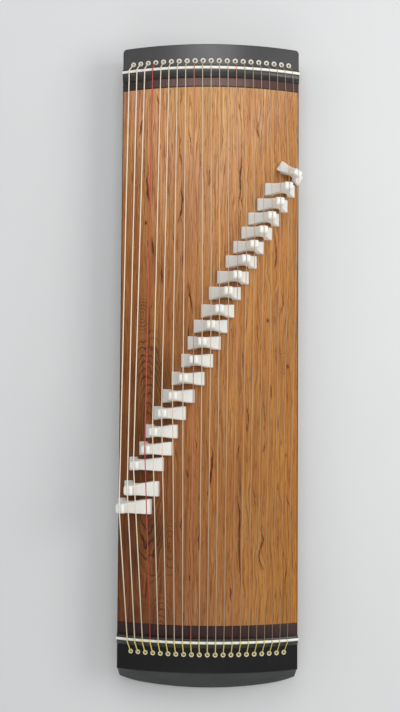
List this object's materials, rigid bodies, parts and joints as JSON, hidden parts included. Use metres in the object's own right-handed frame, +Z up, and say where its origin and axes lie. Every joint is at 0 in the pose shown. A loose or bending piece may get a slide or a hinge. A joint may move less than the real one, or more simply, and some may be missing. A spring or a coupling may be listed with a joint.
{
  "type": "guzheng",
  "caption": "Short-bodied plucked long zither: arched wooden soundboard, movable white bridges under the strings, black end plates, tuning pins in a lidded box.",
  "frame": {"origin": "centre of the overall box, on the surface that the feet stand on", "axes": "+X along the strings to the head (tuning end), +Y away from the player to the bass side, +Z up"},
  "size_m": [1.2052, 0.342, 0.1645],
  "materials": {
    "paulownia": "satin, open straight grain",
    "bottom_wood": "satin",
    "dark_side_wood": "satin black-brown lacquer",
    "black_lacquer": "satin black lacquer",
    "pin_block_wood": "bare hardwood",
    "rail_wood": "polished dark wood",
    "nut_white": "polished",
    "crossband_wood": "polished purple-brown veneer",
    "white_plastic": "smooth",
    "bar_wood": "bare",
    "string_cream": "smooth nylon wrap over steel",
    "string_red": "smooth nylon wrap over steel",
    "winding_yellow": "wound silk thread",
    "ball_brass": "plain",
    "foot_rubber": "matte",
    "bridge_white": "moulded, softly glossy",
    "pin_steel": "plain"
  },
  "bodies": {
    "body": {"soundboard": "paulownia", "bottom_board": "bottom_wood", "side_boards": "dark_side_wood", "head_plate": "black_lacquer", "tail_plate": "black_lacquer", "tail_end_panel": "black_lacquer", "pin_block": "pin_block_wood", "nut_rails": "rail_wood", "nut_strips": "nut_white", "crossbands": "crossband_wood", "string_eyelets": "white_plastic", "sound_bars": "bar_wood", "strings_cream": "string_cream", "strings_red": "string_red", "string_windings": "winding_yellow", "string_ball_ends": "ball_brass", "feet": "foot_rubber"},
    "lid": {"box_lid": "black_lacquer"},
    "bridge_01": {"bridge_01": "bridge_white"},
    "tuning_pin_01": {"tuning_pin_01": "pin_steel"},
    "bridge_02": {"bridge_02": "bridge_white"},
    "tuning_pin_02": {"tuning_pin_02": "pin_steel"},
    "bridge_03": {"bridge_03": "bridge_white"},
    "tuning_pin_03": {"tuning_pin_03": "pin_steel"},
    "bridge_04": {"bridge_04": "bridge_white"},
    "tuning_pin_04": {"tuning_pin_04": "pin_steel"},
    "bridge_05": {"bridge_05": "bridge_white"},
    "tuning_pin_05": {"tuning_pin_05": "pin_steel"},
    "bridge_06": {"bridge_06": "bridge_white"},
    "tuning_pin_06": {"tuning_pin_06": "pin_steel"},
    "bridge_07": {"bridge_07": "bridge_white"},
    "tuning_pin_07": {"tuning_pin_07": "pin_steel"},
    "bridge_08": {"bridge_08": "bridge_white"},
    "tuning_pin_08": {"tuning_pin_08": "pin_steel"},
    "bridge_09": {"bridge_09": "bridge_white"},
    "tuning_pin_09": {"tuning_pin_09": "pin_steel"},
    "bridge_10": {"bridge_10": "bridge_white"},
    "tuning_pin_10": {"tuning_pin_10": "pin_steel"},
    "bridge_11": {"bridge_11": "bridge_white"},
    "tuning_pin_11": {"tuning_pin_11": "pin_steel"},
    "bridge_12": {"bridge_12": "bridge_white"},
    "tuning_pin_12": {"tuning_pin_12": "pin_steel"},
    "bridge_13": {"bridge_13": "bridge_white"},
    "tuning_pin_13": {"tuning_pin_13": "pin_steel"},
    "bridge_14": {"bridge_14": "bridge_white"},
    "tuning_pin_14": {"tuning_pin_14": "pin_steel"},
    "bridge_15": {"bridge_15": "bridge_white"},
    "tuning_pin_15": {"tuning_pin_15": "pin_steel"},
    "bridge_16": {"bridge_16": "bridge_white"},
    "tuning_pin_16": {"tuning_pin_16": "pin_steel"},
    "bridge_17": {"bridge_17": "bridge_white"},
    "tuning_pin_17": {"tuning_pin_17": "pin_steel"},
    "bridge_18": {"bridge_18": "bridge_white"},
    "tuning_pin_18": {"tuning_pin_18": "pin_steel"},
    "bridge_19": {"bridge_19": "bridge_white"},
    "tuning_pin_19": {"tuning_pin_19": "pin_steel"},
    "bridge_20": {"bridge_20": "bridge_white"},
    "tuning_pin_20": {"tuning_pin_20": "pin_steel"},
    "bridge_21": {"bridge_21": "bridge_white"},
    "tuning_pin_21": {"tuning_pin_21": "pin_steel"}
  },
  "joints": [
    {"name": "box_lid_slide", "type": "slide", "parent": "body", "child": "lid", "axis": [1, 0, 0], "range_m": [0, 0.08]},
    {"name": "bridge_01_slide", "type": "slide", "parent": "body", "child": "bridge_01", "axis": [1, 0, 0], "range_m": [-0.0011, 0.0022]},
    {"name": "bridge_02_slide", "type": "slide", "parent": "body", "child": "bridge_02", "axis": [1, 0, 0], "range_m": [-0.0022, 0.0011]},
    {"name": "bridge_03_slide", "type": "slide", "parent": "body", "child": "bridge_03", "axis": [1, 0, 0], "range_m": [-0.0015, 0.0022]},
    {"name": "bridge_04_slide", "type": "slide", "parent": "body", "child": "bridge_04", "axis": [1, 0, 0], "range_m": [-0.0014, 0.0015]},
    {"name": "bridge_05_slide", "type": "slide", "parent": "body", "child": "bridge_05", "axis": [1, 0, 0], "range_m": [-0.0015, 0.0014]},
    {"name": "bridge_06_slide", "type": "slide", "parent": "body", "child": "bridge_06", "axis": [1, 0, 0], "range_m": [-0.0014, 0.0015]},
    {"name": "bridge_07_slide", "type": "slide", "parent": "body", "child": "bridge_07", "axis": [1, 0, 0], "range_m": [-0.0022, 0.0014]},
    {"name": "bridge_08_slide", "type": "slide", "parent": "body", "child": "bridge_08", "axis": [1, 0, 0], "range_m": [-0.0021, 0.0022]},
    {"name": "bridge_09_slide", "type": "slide", "parent": "body", "child": "bridge_09", "axis": [1, 0, 0], "range_m": [-0.0022, 0.0021]},
    {"name": "bridge_10_slide", "type": "slide", "parent": "body", "child": "bridge_10", "axis": [1, 0, 0], "range_m": [-0.0016, 0.0022]},
    {"name": "bridge_11_slide", "type": "slide", "parent": "body", "child": "bridge_11", "axis": [1, 0, 0], "range_m": [-0.0022, 0.0016]},
    {"name": "bridge_12_slide", "type": "slide", "parent": "body", "child": "bridge_12", "axis": [1, 0, 0], "range_m": [-0.0022, 0.0022]},
    {"name": "bridge_13_slide", "type": "slide", "parent": "body", "child": "bridge_13", "axis": [1, 0, 0], "range_m": [-0.0022, 0.0022]},
    {"name": "bridge_14_slide", "type": "slide", "parent": "body", "child": "bridge_14", "axis": [1, 0, 0], "range_m": [-0.0022, 0.0022]},
    {"name": "bridge_15_slide", "type": "slide", "parent": "body", "child": "bridge_15", "axis": [1, 0, 0], "range_m": [-0.0022, 0.0022]},
    {"name": "bridge_16_slide", "type": "slide", "parent": "body", "child": "bridge_16", "axis": [1, 0, 0], "range_m": [-0.0022, 0.0022]},
    {"name": "bridge_17_slide", "type": "slide", "parent": "body", "child": "bridge_17", "axis": [1, 0, 0], "range_m": [-0.0022, 0.0022]},
    {"name": "bridge_18_slide", "type": "slide", "parent": "body", "child": "bridge_18", "axis": [1, 0, 0], "range_m": [-0.0012, 0.0022]},
    {"name": "bridge_19_slide", "type": "slide", "parent": "body", "child": "bridge_19", "axis": [1, 0, 0], "range_m": [-0.0022, 0.0012]},
    {"name": "bridge_20_slide", "type": "slide", "parent": "body", "child": "bridge_20", "axis": [1, 0, 0], "range_m": [-0.0019, 0.0022]},
    {"name": "bridge_21_slide", "type": "slide", "parent": "body", "child": "bridge_21", "axis": [1, 0, 0], "range_m": [-0.0022, 0.0019]},
    {"name": "tuning_pin_01_turn", "type": "hinge", "parent": "body", "child": "tuning_pin_01", "pos_m": [0.5535, -0.13791, 0.05633], "axis": [1, 0, 0], "continuous": true},
    {"name": "tuning_pin_02_turn", "type": "hinge", "parent": "body", "child": "tuning_pin_02", "pos_m": [0.5535, -0.12091, 0.04985], "axis": [1, 0, 0], "continuous": true},
    {"name": "tuning_pin_03_turn", "type": "hinge", "parent": "body", "child": "tuning_pin_03", "pos_m": [0.5535, -0.10457, 0.04262], "axis": [1, 0, 0], "continuous": true},
    {"name": "tuning_pin_04_turn", "type": "hinge", "parent": "body", "child": "tuning_pin_04", "pos_m": [0.5535, -0.09798, 0.06953], "axis": [1, 0, 0], "continuous": true},
    {"name": "tuning_pin_05_turn", "type": "hinge", "parent": "body", "child": "tuning_pin_05", "pos_m": [0.5535, -0.08178, 0.06124], "axis": [1, 0, 0], "continuous": true},
    {"name": "tuning_pin_06_turn", "type": "hinge", "parent": "body", "child": "tuning_pin_06", "pos_m": [0.5535, -0.06633, 0.05228], "axis": [1, 0, 0], "continuous": true},
    {"name": "tuning_pin_07_turn", "type": "hinge", "parent": "body", "child": "tuning_pin_07", "pos_m": [0.5535, -0.05685, 0.07831], "axis": [1, 0, 0], "continuous": true},
    {"name": "tuning_pin_08_turn", "type": "hinge", "parent": "body", "child": "tuning_pin_08", "pos_m": [0.5535, -0.04165, 0.06832], "axis": [1, 0, 0], "continuous": true},
    {"name": "tuning_pin_09_turn", "type": "hinge", "parent": "body", "child": "tuning_pin_09", "pos_m": [0.5535, -0.02726, 0.05773], "axis": [1, 0, 0], "continuous": true},
    {"name": "tuning_pin_10_turn", "type": "hinge", "parent": "body", "child": "tuning_pin_10", "pos_m": [0.5535, -0.01501, 0.08259], "axis": [1, 0, 0], "continuous": true},
    {"name": "tuning_pin_11_turn", "type": "hinge", "parent": "body", "child": "tuning_pin_11", "pos_m": [0.5535, -0.00099, 0.071], "axis": [1, 0, 0], "continuous": true},
    {"name": "tuning_pin_12_turn", "type": "hinge", "parent": "body", "child": "tuning_pin_12", "pos_m": [0.5535, 0.01216, 0.05892], "axis": [1, 0, 0], "continuous": true},
    {"name": "tuning_pin_13_turn", "type": "hinge", "parent": "body", "child": "tuning_pin_13", "pos_m": [0.5535, 0.02705, 0.0823], "axis": [1, 0, 0], "continuous": true},
    {"name": "tuning_pin_14_turn", "type": "hinge", "parent": "body", "child": "tuning_pin_14", "pos_m": [0.5535, 0.03972, 0.06926], "axis": [1, 0, 0], "continuous": true},
    {"name": "tuning_pin_15_turn", "type": "hinge", "parent": "body", "child": "tuning_pin_15", "pos_m": [0.5535, 0.05149, 0.05582], "axis": [1, 0, 0], "continuous": true},
    {"name": "tuning_pin_16_turn", "type": "hinge", "parent": "body", "child": "tuning_pin_16", "pos_m": [0.5535, 0.06882, 0.07745], "axis": [1, 0, 0], "continuous": true},
    {"name": "tuning_pin_17_turn", "type": "hinge", "parent": "body", "child": "tuning_pin_17", "pos_m": [0.5535, 0.08001, 0.06311], "axis": [1, 0, 0], "continuous": true},
    {"name": "tuning_pin_18_turn", "type": "hinge", "parent": "body", "child": "tuning_pin_18", "pos_m": [0.5535, 0.09024, 0.04848], "axis": [1, 0, 0], "continuous": true},
    {"name": "tuning_pin_19_turn", "type": "hinge", "parent": "body", "child": "tuning_pin_19", "pos_m": [0.5535, 0.10983, 0.0681], "axis": [1, 0, 0], "continuous": true},
    {"name": "tuning_pin_20_turn", "type": "hinge", "parent": "body", "child": "tuning_pin_20", "pos_m": [0.5535, 0.11939, 0.05263], "axis": [1, 0, 0], "continuous": true},
    {"name": "tuning_pin_21_turn", "type": "hinge", "parent": "body", "child": "tuning_pin_21", "pos_m": [0.5535, 0.12797, 0.03698], "axis": [1, 0, 0], "continuous": true}
  ]
}
